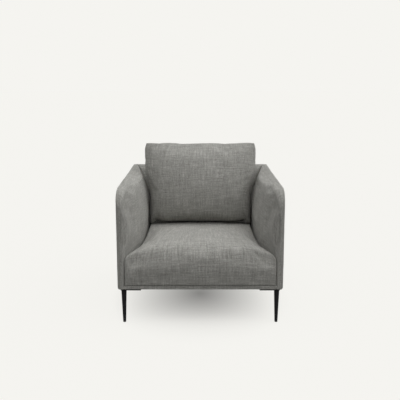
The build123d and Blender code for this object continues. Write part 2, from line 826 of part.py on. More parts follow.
# Legs: a tapered leg welded under a triangular plate, bored at the tip for the peg of its glide
def leg_form(sx, sy):
    corner_x = leg_x + plate_corner
    corner_y = leg_y(sy) + sy * plate_corner
    with BuildPart() as form:
        with BuildSketch(Plane.XY.offset(plate_bottom)) as plate_face:
            with BuildLine():
                Polyline(
                    (sx * corner_x, corner_y),
                    (sx * (corner_x - plate_side), corner_y),
                    (sx * (corner_x - plate_side), corner_y - sy * plate_tip),
                    (sx * (corner_x - plate_tip), corner_y - sy * plate_side),
                    (sx * corner_x, corner_y - sy * plate_side),
                    close=True,
                )
            make_face()
            fillet(plate_face.vertices(), radius=plate_tip / 3)
        extrude(amount=plate_thickness)
        with BuildSketch(Plane(origin=(sx * leg_x, leg_y(sy), 0), x_dir=(1, 0, 0), z_dir=(0, -1, 0))):
            with BuildLine():
                Polyline(
                    (leg_tip_diameter / 2 - leg_wall, glide_height),
                    (leg_tip_diameter / 2, glide_height),
                    (leg_top_diameter / 2, plate_bottom),
                    (0, plate_bottom),
                    (0, glide_height + glide_peg_height + glide_clearance),
                    (leg_tip_diameter / 2 - leg_wall, glide_height + glide_peg_height + glide_clearance),
                    close=True,
                )
            make_face()
        revolve(axis=Axis((sx * leg_x, leg_y(sy), 0), (0, 0, 1)))
        return form


for sx, sy in leg_corners:
    leg = leg_form(sx, sy)
    export_piece(leg, "leg_" + ("front" if sy < 0 else "rear") + ("_left" if sx < 0 else "_right"))

# Glides: a foot under each leg and a peg inside it
with BuildPart() as leg_glides:
    for sx, sy in leg_corners:
        with BuildSketch(Plane(origin=(sx * leg_x, leg_y(sy), 0), x_dir=(1, 0, 0), z_dir=(0, -1, 0))):
            with BuildLine():
                Polyline(
                    (0, 0),
                    (leg_tip_diameter / 2 - leg_wall, 0),
                    (leg_tip_diameter / 2, leg_wall),
                    (leg_tip_diameter / 2, glide_height),
                    (leg_tip_diameter / 2 - leg_wall - glide_clearance, glide_height),
                    (leg_tip_diameter / 2 - leg_wall - glide_clearance, glide_height + glide_peg_height),
                    (0, glide_height + glide_peg_height),
                    close=True,
                )
            make_face()
        revolve(axis=Axis((sx * leg_x, leg_y(sy), 0), (0, 0, 1)))
export_piece(leg_glides, "leg_glides")
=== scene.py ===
import math

import bpy
import numpy as np
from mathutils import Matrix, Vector, noise


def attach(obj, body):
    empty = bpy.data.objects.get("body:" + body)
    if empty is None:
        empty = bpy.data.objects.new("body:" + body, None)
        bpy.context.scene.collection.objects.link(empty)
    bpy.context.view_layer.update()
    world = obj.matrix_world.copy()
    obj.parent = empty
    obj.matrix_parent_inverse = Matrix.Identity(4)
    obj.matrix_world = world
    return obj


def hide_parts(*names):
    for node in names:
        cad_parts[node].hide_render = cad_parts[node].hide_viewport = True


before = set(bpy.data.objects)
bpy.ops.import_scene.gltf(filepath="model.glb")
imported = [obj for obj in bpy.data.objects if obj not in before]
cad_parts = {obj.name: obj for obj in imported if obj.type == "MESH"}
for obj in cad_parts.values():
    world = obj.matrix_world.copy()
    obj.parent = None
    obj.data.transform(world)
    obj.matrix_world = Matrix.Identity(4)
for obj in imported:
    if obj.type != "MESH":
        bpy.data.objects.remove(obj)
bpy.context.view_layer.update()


# Wooden frame. Planed beech posts and rails meet on loose glued tenons, and a block is glued into
# each corner for the leg screws. Thin brown hardboard closes the arms and the back under the covers.
def fresh_material(name, roughness):
    """A new material with its tree and its shader."""
    material = bpy.data.materials.new(name)
    material.use_nodes = True
    shader = material.node_tree.nodes["Principled BSDF"]
    shader.inputs["Roughness"].default_value = roughness
    return material, material.node_tree, shader


def pattern(tree, kind, where, scale, **settings):
    """A texture node on the given coordinates, which are first multiplied by scale."""
    mapping = tree.nodes.new("ShaderNodeMapping")
    mapping.inputs["Scale"].default_value = scale
    tree.links.new(where, mapping.inputs["Vector"])
    texture = tree.nodes.new(kind)
    tree.links.new(mapping.outputs["Vector"], texture.inputs["Vector"])
    for socket, value in settings.items():
        texture.inputs[socket].default_value = value
    return texture


def shades(tree, amount, *stops):
    """Colours along amount, from (place, colour) stops."""
    ramp = tree.nodes.new("ShaderNodeValToRGB")
    while len(ramp.color_ramp.elements) < len(stops):
        ramp.color_ramp.elements.new(0.5)
    for element, (place, colour) in zip(ramp.color_ramp.elements, stops):
        element.position = place
        element.color = (*colour, 1.0)
    tree.links.new(amount, ramp.inputs["Fac"])
    return ramp.outputs["Color"]


def relief(tree, shader, height, depth):
    """Fine raised detail of that depth in metres."""
    bump = tree.nodes.new("ShaderNodeBump")
    bump.inputs["Distance"].default_value = depth
    tree.links.new(height, bump.inputs["Height"])
    tree.links.new(bump.outputs["Normal"], shader.inputs["Normal"])


def object_place(tree):
    return tree.nodes.new("ShaderNodeTexCoord").outputs["Object"]


def dress(node, material):
    """Gives a CAD node that stays a finished material."""
    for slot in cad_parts[node].material_slots:
        slot.material = material


def beech(name, grain):
    """Planed beech whose grain runs along the axis with the small scale."""
    material, tree, shader = fresh_material(name, 0.55)
    figure = pattern(tree, "ShaderNodeTexNoise", object_place(tree), grain, Scale=1.0, Detail=6.0)
    colour = shades(tree, figure.outputs["Fac"], (0.3, (0.47, 0.30, 0.17)), (0.55, (0.60, 0.42, 0.26)),
                    (0.75, (0.68, 0.50, 0.33)))
    tree.links.new(colour, shader.inputs["Base Color"])
    relief(tree, shader, figure.outputs["Fac"], 0.0002)
    return material


beech_across = beech("beech_across", (5.0, 190.0, 190.0))
beech_deep = beech("beech_deep", (190.0, 5.0, 190.0))
beech_upright = beech("beech_upright", (190.0, 190.0, 5.0))
for wood, pieces in (
    (beech_across, ("front_rail", "rear_rail", "back_top_rail", "plinth_batten", "loose_tenons")),
    (beech_deep, ("side_rail_left", "side_rail_right", "arm_top_rail_left", "arm_top_rail_right")),
    (beech_upright, ("front_post_left", "front_post_right", "rear_post_left", "rear_post_right",
                     "back_stile", "corner_blocks")),
):
    for piece in pieces:
        dress(piece, wood)


def speckled(name, roughness, grain, dark, pale, depth, detail=3.0, metallic=0.0, shine=0.5):
    """A material whose fine grain goes from a dark to a pale colour and is raised by that depth."""
    material, tree, shader = fresh_material(name, roughness)
    shader.inputs["Metallic"].default_value = metallic
    shader.inputs["Specular IOR Level"].default_value = shine
    figure = pattern(tree, "ShaderNodeTexNoise", object_place(tree), grain, Scale=1.0, Detail=detail)
    colour = shades(tree, figure.outputs["Fac"], (0.3, dark), (0.7, pale))
    tree.links.new(colour, shader.inputs["Base Color"])
    relief(tree, shader, figure.outputs["Fac"], depth)
    return material


hardboard = speckled("hardboard", 0.62, (420.0, 420.0, 420.0), (0.20, 0.125, 0.07), (0.37, 0.25, 0.155),
                     depth=0.0003, detail=4.0)
for piece in ("arm_board_left", "arm_board_right", "arm_liner_left", "arm_liner_right", "back_board"):
    dress(piece, hardboard)


# Suspension. Four zigzag springs of drawn steel wire hook into clips on the rails, under a pad of
# needled felt, and four elastic straps run across the back.
spring_wire = speckled("spring_wire", 0.36, (300.0, 900.0, 900.0), (0.34, 0.34, 0.35), (0.52, 0.52, 0.53),
                       depth=0.00005, metallic=1.0)
dress("seat_springs", spring_wire)
dress("spring_clips", spring_wire)

needled_felt = speckled("needled_felt", 0.95, (230.0, 230.0, 230.0), (0.27, 0.255, 0.23), (0.52, 0.50, 0.46),
                        depth=0.001, detail=5.0)
dress("spring_felt", needled_felt)

strap_weave = speckled("strap_weave", 0.9, (40.0, 900.0, 900.0), (0.40, 0.34, 0.24), (0.58, 0.52, 0.40),
                       depth=0.0005)
dress("back_webbing", strap_weave)


# Outer arm covers. Each is one panel of the slubby grey cloth over thin wadding, drawn over the side of
# the arm and turned 15 mm round its front and 11 mm over its top, where it is sewn to the inner cover.
shell_top = 0.676
shell_foot = 0.178
rim_y = -0.388
back_y = 0.400
outer_x = 0.410
corner_radius = 0.080
front_rounding = 0.010
corner_foot_rounding = 0.010
side_foot_rounding = 0.005
edge_draw = 0.0008
front_seam_x = 0.3945
top_seam_shift = 0.004
seam_shift_z = 0.551
seam_shift_height = 0.12
back_rise = 0.004
back_rise_y = 0.10
back_rise_depth = 0.28
outer_unevenness = 0.0006


def seam_x(z):
    """Where the side panel's seam runs on the front of the arm, and further out on its top."""
    return front_seam_x + top_seam_shift * np.clip((z - seam_shift_z) / seam_shift_height, 0.0, 1.0)


def smooth_step(amount):
    amount = np.clip(amount, 0.0, 1.0)
    return amount * amount * (3.0 - 2.0 * amount)


def arm_top(y):
    """Top edge of the arm, with a large round corner at the front and a small rise at the back."""
    reach = np.clip(corner_radius - (y - rim_y), 0.0, corner_radius)
    rise = back_rise * smooth_step((y - back_rise_y) / back_rise_depth)
    return shell_top - corner_radius + np.sqrt(corner_radius**2 - reach**2) + rise


def soft_block(name, grid):
    """A closed skin of quads over the six sides of a block of points, with each point's place in it."""
    skin = np.zeros(grid.shape[:3], bool)
    skin[[0, -1]] = skin[:, [0, -1]] = skin[:, :, [0, -1]] = True
    number = np.zeros(grid.shape[:3], int)
    number[skin] = np.arange(skin.sum())
    quads, sides = [], []
    for axis in range(3):
        for end in (0, -1):
            rows = np.take(number, end, axis=axis)
            corners = [rows[:-1, :-1], rows[1:, :-1], rows[1:, 1:], rows[:-1, 1:]]
            side = np.stack(corners, axis=-1).reshape(-1, 4)
            quads.append(side if (end == -1) == (axis != 1) else side[:, ::-1])
            sides += [(axis, end)] * len(side)
    mesh = bpy.data.meshes.new(name)
    mesh.from_pydata(grid[skin].tolist(), [], np.vstack(quads).tolist())
    mesh.polygons.foreach_set("use_smooth", [True] * len(mesh.polygons))
    piece = bpy.data.objects.new(name, mesh)
    bpy.context.scene.collection.objects.link(piece)
    return piece, np.argwhere(skin), sides


def run(line):
    """Distance along a line of points."""
    return np.concatenate([[0.0], np.cumsum(np.linalg.norm(np.diff(line, axis=0), axis=1))])


def cut_panels(grid):
    """Each side of a block laid flat: distances along its two directions, and whether these change places."""
    middle = [n // 2 for n in grid.shape[:3]]
    panels = {}
    for axis in range(3):
        for end in (0, -1):
            side = np.take(grid, end, axis=axis)
            first, second = [m for n, m in enumerate(middle) if n != axis]
            panels[axis, end] = [run(side[:, second]), run(side[first]), False]
    return panels


def lay_weave(piece, places, sides, panels):
    """Lays the cloth's threads on a piece as a UV map in metres."""
    mesh = piece.data
    corners = np.zeros((len(mesh.loops), 2))
    for face, side in zip(mesh.polygons, sides):
        first, second, turned = panels[side]
        one, two = [n for n in range(3) if n != side[0]]
        for corner in face.loop_indices:
            place = places[mesh.loops[corner].vertex_index]
            spot = (first[place[one]], second[place[two]])
            corners[corner] = spot[::-1] if turned else spot
    mesh.uv_layers.new(name="weave").data.foreach_set("uv", corners.ravel())


def round_off(piece, free):
    """Divides a cover's skin once more, and gives how free each of its points is to wrinkle."""
    loose = piece.data.attributes.new("loose", "FLOAT", "POINT")
    loose.data.foreach_set("value", np.asarray(free, float))
    rounding = piece.modifiers.new("rounding", "SUBSURF")
    rounding.levels = rounding.render_levels = 1
    coarse = piece.data
    piece.data = bpy.data.meshes.new_from_object(piece.evaluated_get(bpy.context.evaluated_depsgraph_get()))
    piece.modifiers.remove(rounding)
    bpy.data.meshes.remove(coarse)
    spread = np.empty(len(piece.data.vertices))
    piece.data.attributes["loose"].data.foreach_get("value", spread)
    piece.data.attributes.remove(piece.data.attributes["loose"])
    return spread


def points_of(piece):
    """The points of a piece and the directions its skin faces there."""
    places = np.empty((len(piece.data.vertices), 3))
    facing = np.empty_like(places)
    piece.data.vertices.foreach_get("co", places.ravel())
    piece.data.vertices.foreach_get("normal", facing.ravel())
    return places, facing


def ease(piece, amount, free):
    """Small soft unevenness of a cover stretched by hand."""
    places, facing = points_of(piece)
    swell = np.array([noise.noise(Vector(p * 14.0)) + 0.5 * noise.noise(Vector(p * 31.0)) for p in places])
    places += facing * (amount * free * swell)[:, None]
    piece.data.vertices.foreach_set("co", places.ravel())
    piece.data.update()


def pull_creases(piece, creases):
    """Narrow hollows where the cloth pulls, each from one point to another with its width and depth."""
    for start, end, width, depth in creases:
        places, facing = points_of(piece)
        start, reach = np.array(start), np.array(end) - np.array(start)
        share = np.clip(((places - start) @ reach) / (reach @ reach), 0.0, 1.0)
        gap = places - start - share[:, None] * reach
        above = (gap * facing).sum(axis=1)
        sideways = np.cross(reach, facing)
        sideways /= np.maximum(np.linalg.norm(sideways, axis=1), 1e-9)[:, None]
        away = np.abs((gap * sideways).sum(axis=1)) / width
        taper = np.where(np.abs(above) < 0.05, 1.0 - np.abs(2.0 * share - 1.0) ** 3, 0.0)
        hollow = np.exp(-(away**2)) - 0.5 * np.exp(-((away - 1.8) ** 2))
        places -= facing * (depth * taper * hollow)[:, None]
        piece.data.vertices.foreach_set("co", places.ravel())
        piece.data.update()


def finish_cover(piece, body, *nodes, fill):
    """Gives a cover its cloth and puts it in its CAD solids' place."""
    piece.data.materials.append(upholstery)
    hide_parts(*nodes)
    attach(piece, body)


def slubs(tree, threads, scale):
    """Thick and thin places in the yarns of one direction, from about -1 to 1."""
    yarn = pattern(tree, "ShaderNodeTexNoise", threads, scale, Scale=1.0, Detail=2.0, Roughness=0.55)
    level = tree.nodes.new("ShaderNodeMapRange")
    level.inputs["From Min"].default_value = 0.3
    level.inputs["From Max"].default_value = 0.7
    level.inputs["To Min"].default_value = -1.0
    level.inputs["To Max"].default_value = 1.0
    tree.links.new(yarn.outputs["Fac"], level.inputs["Value"])
    return level.outputs["Result"]


def blend_of(tree, how, one, two):
    """Two amounts put together; either may be a plain number."""
    step = tree.nodes.new("ShaderNodeMath")
    step.operation = how
    for socket, amount in zip(step.inputs, (one, two)):
        if isinstance(amount, (int, float)):
            socket.default_value = amount
        else:
            tree.links.new(amount, socket)
    return step.outputs["Value"]


upholstery, tree, shader = fresh_material("upholstery", 0.92)
shader.inputs["Specular IOR Level"].default_value = 0.22
shader.inputs["Sheen Weight"].default_value = 0.12
shader.inputs["Sheen Roughness"].default_value = 0.5
threads = tree.nodes.new("ShaderNodeUVMap")
threads.uv_map = "weave"
threads = threads.outputs["UV"]
weft_slubs = slubs(tree, threads, (17.0, 240.0, 1.0))
warp_slubs = slubs(tree, threads, (240.0, 17.0, 1.0))
fine_weft = slubs(tree, threads, (90.0, 620.0, 1.0))
fine_warp = slubs(tree, threads, (620.0, 90.0, 1.0))
coarse = blend_of(tree, "ADD", weft_slubs, warp_slubs)
fine = blend_of(tree, "ADD", fine_weft, fine_warp)
thick_weft = slubs(tree, threads, (8.0, 115.0, 1.0))
thick_warp = slubs(tree, threads, (115.0, 8.0, 1.0))
thick = blend_of(tree, "ADD", thick_weft, thick_warp)
mottle = slubs(tree, threads, (9.0, 9.0, 1.0))
tone = blend_of(tree, "MULTIPLY", coarse, 0.125)
for layer, strength in ((fine, 0.145), (thick, 0.085), (mottle, 0.04)):
    tone = blend_of(tree, "ADD", tone, blend_of(tree, "MULTIPLY", layer, strength))
tone = blend_of(tree, "ADD", tone, 0.5)
dark_yarn = (0.178, 0.175, 0.160)
grey_yarn = (0.384, 0.379, 0.353)
pale_yarn = (0.680, 0.673, 0.640)
colour = shades(tree, tone, (0.0, dark_yarn), (0.5, grey_yarn), (1.0, pale_yarn))
tree.links.new(colour, shader.inputs["Base Color"])
yarn_pitch = 0.0013
wave_repeat = 0.314
over_under = [
    pattern(tree, "ShaderNodeTexWave", threads, scale, Scale=1.0, Distortion=1.2, Detail=1.0)
    for scale in ((wave_repeat / yarn_pitch, 0.0, 0.0), (0.0, wave_repeat / yarn_pitch, 0.0))
]
over_under[1].bands_direction = "Y"
weave = blend_of(tree, "ADD", over_under[0].outputs["Fac"], over_under[1].outputs["Fac"])
weave = blend_of(tree, "ADD", blend_of(tree, "MULTIPLY", weave, 0.35), blend_of(tree, "MULTIPLY", fine, 0.35))
weave = blend_of(tree, "ADD", weave, blend_of(tree, "MULTIPLY", coarse, 0.6))
relief(tree, shader, weave, 0.0005)

turn = np.linspace(0.0, math.pi / 2, 12)
corner_y = rim_y + corner_radius * (1.0 - np.cos(turn))
for side, name in ((-1, "left"), (1, "right")):
    along = np.concatenate([corner_y, np.linspace(corner_y[-1], back_y, 62)[1:]])
    up = np.concatenate([[0.0, 0.003, 0.009, 0.018], np.linspace(0.03, 0.98, 45), [0.992, 1.0]])
    across = np.array([0.0, 0.4, 0.75, 1.0])
    a, y, c = np.meshgrid(across, along, up, indexing="ij")
    z = shell_foot + c * (arm_top(y) - shell_foot)
    from_middle = (2.0 * y - rim_y - back_y) / (back_y - rim_y)
    flat = (1.0 - np.abs(2.0 * c - 1.0) ** 4) * (1.0 - np.abs(from_middle) ** 6)
    behind_corner = smooth_step((y - rim_y - 0.02) / corner_radius)
    foot_rounding = corner_foot_rounding + behind_corner * (side_foot_rounding - corner_foot_rounding)
    under = np.clip(foot_rounding - (z - shell_foot), 0.0, foot_rounding)
    ahead = np.clip(front_rounding - (y - rim_y), 0.0, front_rounding)
    tuck = foot_rounding - np.sqrt(foot_rounding**2 - under**2) + edge_draw * (1.0 - flat)
    tuck = np.maximum(tuck, front_rounding - np.sqrt(front_rounding**2 - ahead**2))
    x = seam_x(z) + a * (outer_x - tuck - seam_x(z))
    grid = np.stack([x, y, z], axis=-1)
    panels_of = (0, -1)
    if side < 0:
        grid[..., 0] *= -1.0
        grid = grid[::-1]
        panels_of = (0, 0)
    cover, places, sides = soft_block("outer_arm_cover_" + name, grid)
    panels = cut_panels(grid)
    edge = panels[panels_of][1][-1]
    panels[2, -1][0] = edge + panels[2, -1][0]
    panels[2, -1][2] = True
    lay_weave(cover, places, sides, panels)
    outer_end = len(across) - 1 if side > 0 else 0
    ease(cover, outer_unevenness, round_off(cover, places[:, 0] == outer_end))
    finish_cover(cover, "chair", "arm_outer_cover_" + name, fill=0.9)


# Outer back cover. One panel of the same cloth over wadding, drawn flat over the back of the frame
# and turned 11 mm over its top, between the two arms' panels.
back_puff = 0.003
back_seam_overlap = 0.0008
back_cover_inset = 0.0004
back_fold_y = 0.386
back_fold_lean = 0.003
across = np.concatenate([[-1.0, -0.99], np.linspace(-0.97, 0.97, 66), [0.99, 1.0]])
through_back = np.array([0.0, 0.4, 0.75, 1.0])
up = np.concatenate([[0.0, 0.008], np.linspace(0.02, 0.98, 46), [0.992, 1.0]])
a, b, c = np.meshgrid(across, through_back, up, indexing="ij")
z = shell_foot + c * (shell_top + back_rise - shell_foot)
puff = back_puff * (1.0 - a**8) * (1.0 - (2.0 * c - 1.0) ** 6)
inner_y = back_fold_y + back_fold_lean * c
y = inner_y + b * (back_y - back_cover_inset + puff - inner_y)
x = a * (seam_x(z) + back_seam_overlap)
grid = np.stack([x, y, z], axis=-1)
back_cover, places, sides = soft_block("outer_back_cover", grid)
panels = cut_panels(grid)
panels[2, -1][1] = panels[1, -1][1][-1] + panels[2, -1][1][::-1]
lay_weave(back_cover, places, sides, panels)
ease(back_cover, outer_unevenness, round_off(back_cover, places[:, 1] == len(through_back) - 1))
finish_cover(back_cover, "chair", "back_outer_cover", fill=0.9)


# Inner arm covers. Each wraps the arm's front post, then a foam pad that thickens towards the back, and
# runs on down beside the seat. It is sewn to the side panel along the front and the top.
pad_thin = [(0.3986, 0.0), (0.393, 0.0013), (0.386, 0.0055), (0.3795, 0.018), (0.3772, 0.040),
            (0.3765, 0.080), (0.3765, 0.130), (0.3765, 0.190), (0.3765, 0.245), (0.3765, 0.300),
            (0.3765, 0.500)]
pad_full = [(0.3986, 0.0), (0.383, 0.0013), (0.363, 0.0065), (0.348, 0.0185), (0.3365, 0.038),
            (0.3235, 0.080), (0.3128, 0.130), (0.3054, 0.190), (0.3030, 0.245), (0.3040, 0.300),
            (0.312, 0.500)]
pad_shoulder = 0.040
pad_front = rim_y - 0.002
pad_rear = 0.389
pad_swell_depth = 0.754
pad_foot_rise = 0.113
pad_seam_overlap = 0.0015
rear_corner_x = 0.395
rear_corner_y = 0.18
rear_corner_depth = 0.19
rear_corner_height = 0.22
nose_depth = 0.009
nose_low_z, nose_high_z = 0.355, 0.53
edge_rounding = 0.005
seat_line_z = 0.336
pad_unevenness = 0.0006


def through(points, count):
    """Evenly spaced points on a smooth line through the given ones."""
    given = np.asarray(points, float)
    ends = np.vstack([2 * given[0] - given[1], given, 2 * given[-1] - given[-2]])
    t = np.linspace(0.0, 1.0, 24, endpoint=False)[:, None]
    spans = [
        0.5 * (2 * q + (r - p) * t + (2 * p - 5 * q + 4 * r - s) * t**2 + (3 * q - p - 3 * r + s) * t**3)
        for p, q, r, s in zip(ends, ends[1:], ends[2:], ends[3:])
    ]
    line = np.vstack(spans + [given[-1:]])
    length = run(line)
    even = np.linspace(0.0, length[-1], count)
    return np.column_stack([np.interp(even, length, line[:, n]) for n in range(line.shape[1])])


def pad_share(y):
    """How far the pad has thickened, from 0 at the front rim to 1 at the back."""
    return 1.0 - (1.0 - np.clip((y - rim_y) / pad_swell_depth, 0.0, 1.0)) ** 5


def fill_between(low, high, first, last):
    """Points of a section filled in between its four edges."""
    a = np.linspace(0.0, 1.0, len(low))[:, None, None]
    c = np.linspace(0.0, 1.0, len(first))[None, :, None]
    ruled = (1 - c) * low[:, None] + c * high[:, None] + (1 - a) * first[None] + a * last[None]
    corners = (1 - a) * ((1 - c) * low[0] + c * high[0]) + a * ((1 - c) * low[-1] + c * high[-1])
    return ruled - corners


def pad_face(y):
    """The pad's face at that depth: distances from the chair's middle and down from the arm's top."""
    line = np.array(pad_thin) + float(pad_share(y)) * (np.array(pad_full) - np.array(pad_thin))
    into_corner = np.clip((y - rear_corner_y) / rear_corner_depth, 0.0, 1.0) ** 1.2
    drawn_in = 0.5 * into_corner * (1.0 - smooth_step(line[:, 1] / rear_corner_height))
    line[:, 0] += drawn_in * (rear_corner_x - line[:, 0])
    line[0, 0] = seam_x(arm_top(y)) + pad_seam_overlap
    return through(line, 400)


def pad_section(y, over, down):
    """One upright section through the arm pad at that depth, as x and z."""
    top = float(arm_top(y))
    foot = shell_foot + pad_foot_rise * float(smooth_step((y - rim_y - 0.022) / 0.05))
    line = pad_face(y)
    high = top - line[:, 1]
    nose = smooth_step((high - nose_low_z) / 0.09) * (1.0 - smooth_step((high - nose_high_z) / 0.07))
    line[:, 0] -= nose_depth * math.exp(-(((y - rim_y - 0.012) / 0.045) ** 2)) * nose
    rounding = edge_rounding + 0.008 * smooth_step((high - 0.351) / 0.06) + 0.007 * nose
    reach = np.clip(rounding - (y - pad_front), 0.0, rounding)
    line[:, 0] += (rounding - np.sqrt(rounding**2 - reach**2)) * np.clip(line[:, 1] / pad_shoulder, 0.0, 1.0)
    turn_at = int(np.argmin(np.abs(line[:, 1] - pad_shoulder)))
    low_at = int(np.argmin(np.abs(top - line[:, 1] - foot)))
    line[:, 1] = top - line[:, 1]
    upper = through(line[: turn_at + 1 : 2] if turn_at % 2 == 0 else line[: turn_at + 1], over)
    inner = through(line[turn_at : low_at + 1 : 4], down)[::-1]
    upper[-1] = inner[-1] = line[turn_at]
    share_up = (inner[:, 1] - inner[0, 1]) / (inner[-1, 1] - inner[0, 1])
    outer_z = inner[0, 1] + share_up * (top - inner[0, 1])
    outer = np.column_stack([seam_x(outer_z) + pad_seam_overlap, outer_z])
    upper[0] = outer[-1]
    low = outer[0] + np.linspace(0.0, 1.0, over)[:, None] * (inner[0] - outer[0])
    return fill_between(low, upper, outer, inner)


def settle(piece, held, pressure, steps, reach, slack):
    """Lets a cover swell as sewn cloth over its filling, held where it is sewn or out of sight."""
    scene = bpy.context.scene
    rest = np.array([v.co for v in piece.data.vertices])
    sewn = piece.vertex_groups.new(name="sewn")
    sewn.add([int(n) for n in np.flatnonzero(held)], 1.0, "REPLACE")
    cloth = piece.modifiers.new("cloth", "CLOTH")
    cloth.settings.quality = 6
    cloth.settings.mass = 0.25
    cloth.settings.tension_stiffness = 18.0
    cloth.settings.compression_stiffness = 18.0
    cloth.settings.shear_stiffness = 6.0
    cloth.settings.bending_stiffness = 0.6
    cloth.settings.shrink_min = -slack
    cloth.settings.use_pressure = True
    cloth.settings.uniform_pressure_force = pressure
    cloth.settings.effector_weights.gravity = 0.0
    cloth.settings.vertex_group_mass = "sewn"
    cloth.collision_settings.use_collision = False
    cloth.collision_settings.use_self_collision = False
    cloth.point_cache.frame_start = 1
    cloth.point_cache.frame_end = steps
    for step in range(1, steps + 1):
        scene.frame_set(step)
    settled = piece.evaluated_get(bpy.context.evaluated_depsgraph_get())
    moved = np.array([v.co for v in settled.data.vertices]) - rest
    far = np.linalg.norm(moved, axis=1)
    moved *= (np.minimum(far, reach) / np.maximum(far, 1e-9))[:, None]
    piece.modifiers.remove(cloth)
    piece.vertex_groups.remove(sewn)
    piece.data.vertices.foreach_set("co", (rest + moved).ravel())
    piece.data.update()
    scene.frame_set(1)


for side, name in ((-1, "left"), (1, "right")):
    along = np.concatenate([[pad_front], corner_y[1:], np.linspace(corner_y[-1], pad_rear, 62)[1:]])
    sections = [pad_section(y, 13, 62) for y in along]
    grid = np.stack(
        [np.insert(section, 1, y, axis=-1) for section, y in zip(sections, along)], axis=1
    )
    inner_side = (0, -1)
    if side < 0:
        grid[..., 0] *= -1.0
        grid = grid[::-1]
        inner_side = (0, 0)
    pad, places, sides = soft_block("arm_pad_" + name, grid)
    panels = cut_panels(grid)
    seam_end = 0 if side > 0 else grid.shape[0] - 1
    inner_end = grid.shape[0] - 1 - seam_end
    over = panels[2, -1][0]
    panels[2, -1][0] = panels[inner_side][1][-1] + np.abs(over - over[inner_end])
    panels[2, -1][2] = True
    front = panels[1, 0][0]
    panels[1, 0][0] = -np.abs(front - front[inner_end])
    lay_weave(pad, places, sides, panels)
    behind_seat = np.array([v.co.z for v in pad.data.vertices]) < seat_line_z
    held = (places[:, 0] == seam_end) | (places[:, 2] == 0) | behind_seat
    held |= (places[:, 1] == 0) | (places[:, 1] == grid.shape[1] - 1)
    settle(pad, held, pressure=0.2, steps=16, reach=0.010, slack=0.004)
    spots = points_of(pad)[0]
    free = smooth_step((spots[:, 1] - rim_y - 0.004) / 0.06)
    free *= smooth_step((0.393 - np.abs(spots[:, 0])) / 0.02)
    free *= smooth_step((spots[:, 2] - seat_line_z) / 0.02)
    ease(pad, pad_unevenness, round_off(pad, free))
    pull_creases(pad, [
        ((side * 0.372, -0.372, 0.566), (side * 0.336, -0.190, 0.536), 0.010, 0.0007),
        ((side * 0.374, -0.366, 0.586), (side * 0.338, -0.220, 0.572), 0.009, 0.0006),
        ((side * 0.370, -0.370, 0.545), (side * 0.334, -0.200, 0.502), 0.011, 0.0007),
        ((side * 0.306, 0.060, 0.461), (side * 0.310, -0.080, 0.431), 0.010, 0.0010),
    ])
    finish_cover(pad, "chair", "arm_inner_cover_" + name, "arm_foam_" + name, fill=0.8)


# Inner back pad. A thin foam pad under the same cloth faces the frame's back between the two arm pads.
# It is sewn to the outer back cover along the top, and the loose cushion hides most of it.
back_profile = [(0.3888, 0.6800), (0.3840, 0.6815), (0.3780, 0.6800), (0.3700, 0.6725), (0.3600, 0.6590),
                (0.3490, 0.6400), (0.3340, 0.6000), (0.3230, 0.5560), (0.3150, 0.5110), (0.312, 0.441),
                (0.312, 0.269)]
back_shoulder_z = 0.640
back_pad_gap = 0.0015
back_pad_unevenness = 0.0015
line = through(back_profile, 300)
turn_at = int(np.argmin(np.abs(line[:, 1] - back_shoulder_z)))
upper = through(line[: turn_at + 1], 9)[::-1]
face = through(line[turn_at:], 38)[::-1]
back_foot_z, back_top_z = back_profile[-1][1], back_profile[0][1]
rear_foot_y, rear_lean = 0.3835, 0.0053 / 0.4065
rear_z = np.linspace(back_foot_z, back_top_z, 38)
rear = np.column_stack([rear_foot_y + rear_lean * (rear_z - back_foot_z), rear_z])
upper[-1] = rear[-1]
low = face[0] + np.linspace(0.0, 1.0, 9)[:, None] * (rear[0] - face[0])
section = fill_between(low, upper, face, rear)
across = np.linspace(-1.0, 1.0, 65)
half_width = np.empty(section.shape[:2])
for place in np.ndindex(half_width.shape):
    y, z = section[place]
    away, below = pad_face(y).T
    half_width[place] = np.interp(arm_top(y) - z, below, away) - back_pad_gap
grid = np.empty((len(across), *section.shape[:2], 3))
grid[..., 0] = across[:, None, None] * half_width
grid[..., 1:] = section
back_pad, places, sides = soft_block("back_pad", grid)
panels = cut_panels(grid)
panels[2, -1][1] = panels[1, 0][1][-1] + panels[2, -1][1]
lay_weave(back_pad, places, sides, panels)
free = (1.0 - np.abs(2.0 * places[:, 0] / (len(across) - 1) - 1.0) ** 6) * (places[:, 1] == 0)
ease(back_pad, back_pad_unevenness, round_off(back_pad, free))
finish_cover(back_pad, "chair", "back_inner_cover", "back_foam", fill=0.8)


# Seat. One cloth panel runs over the crowned foam from the back to the front and rolls down over the
# front rail with no seam, in full width, to the border seam. Its sides go down between the arm pads.
seat_middle = [(-0.3900, 0.1974), (-0.3965, 0.2065), (-0.4000, 0.2250), (-0.4000, 0.2480), (-0.3970, 0.2850),
               (-0.3900, 0.3350), (-0.3790, 0.3680), (-0.3590, 0.3890), (-0.3310, 0.4005), (-0.2950, 0.4060),
               (-0.2000, 0.4032), (-0.0500, 0.3915), (0.1200, 0.3740), (0.3110, 0.3675)]
seat_edge = [(-0.3885, 0.1974), (-0.3885, 0.2140), (-0.3880, 0.2410), (-0.3885, 0.2810), (-0.3880, 0.3230),
             (-0.3840, 0.3400), (-0.3740, 0.3475), (-0.3500, 0.3495), (-0.2950, 0.3485), (-0.2000, 0.3490),
             (-0.0500, 0.3510), (0.1200, 0.3530), (0.3110, 0.3500)]
seat_front_half_width = 0.3742
seat_narrowing = 0.0768
seat_rear_y = 0.311
seat_under_z = 0.2675
crown_power = 3.6
groove_share = 0.032
groove_depth = 0.013
seat_unevenness = 0.0008


def seat_half_width(y):
    """The seat is as wide as the arm pads leave room for."""
    return seat_front_half_width - seat_narrowing * pad_share(y)


